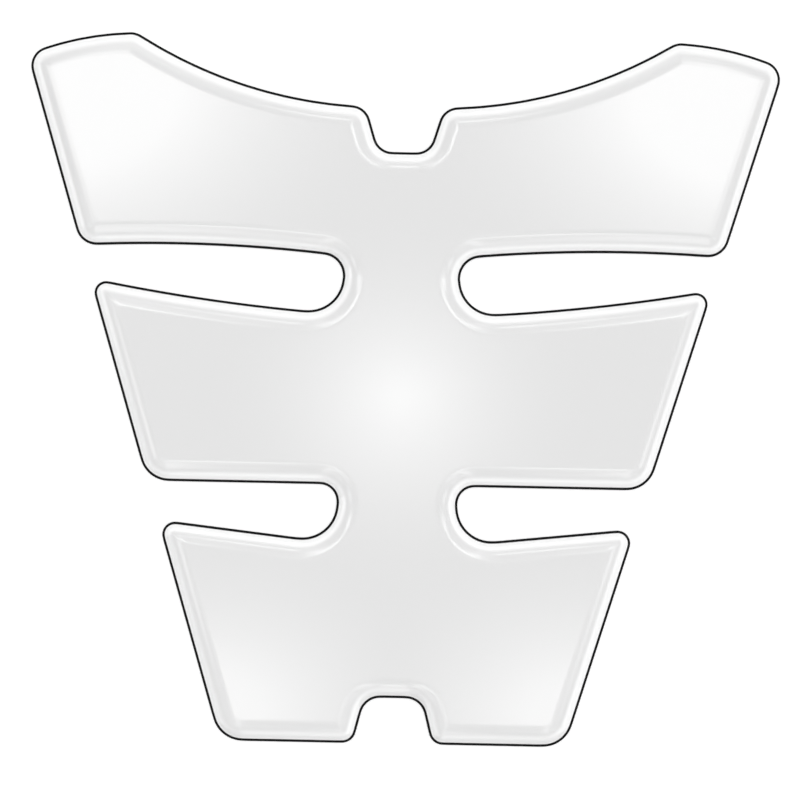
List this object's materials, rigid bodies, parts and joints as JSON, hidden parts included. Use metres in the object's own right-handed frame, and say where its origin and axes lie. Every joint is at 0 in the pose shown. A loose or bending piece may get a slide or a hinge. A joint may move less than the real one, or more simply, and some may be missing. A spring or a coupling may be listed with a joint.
{
  "type": "motorcycle tank pad",
  "caption": "Self-adhesive domed gel tank pad: a spine with paired wings parted by round-ended slots, glossy white on a black film.",
  "frame": {"origin": "centre of the pad's length and width, on the adhesive face it lies on", "axes": "+Z out of the glossy face, +Y towards the wide end that goes nearest the handlebar, +X to the right in the picture"},
  "size_m": [0.2108, 0.1988, 0.003],
  "materials": {
    "film": "satin black vinyl film",
    "gel": "glossy white domed polyurethane resin"
  },
  "bodies": {
    "root": {"base_film": "film", "gel_dome": "gel"}
  },
  "joints": []
}
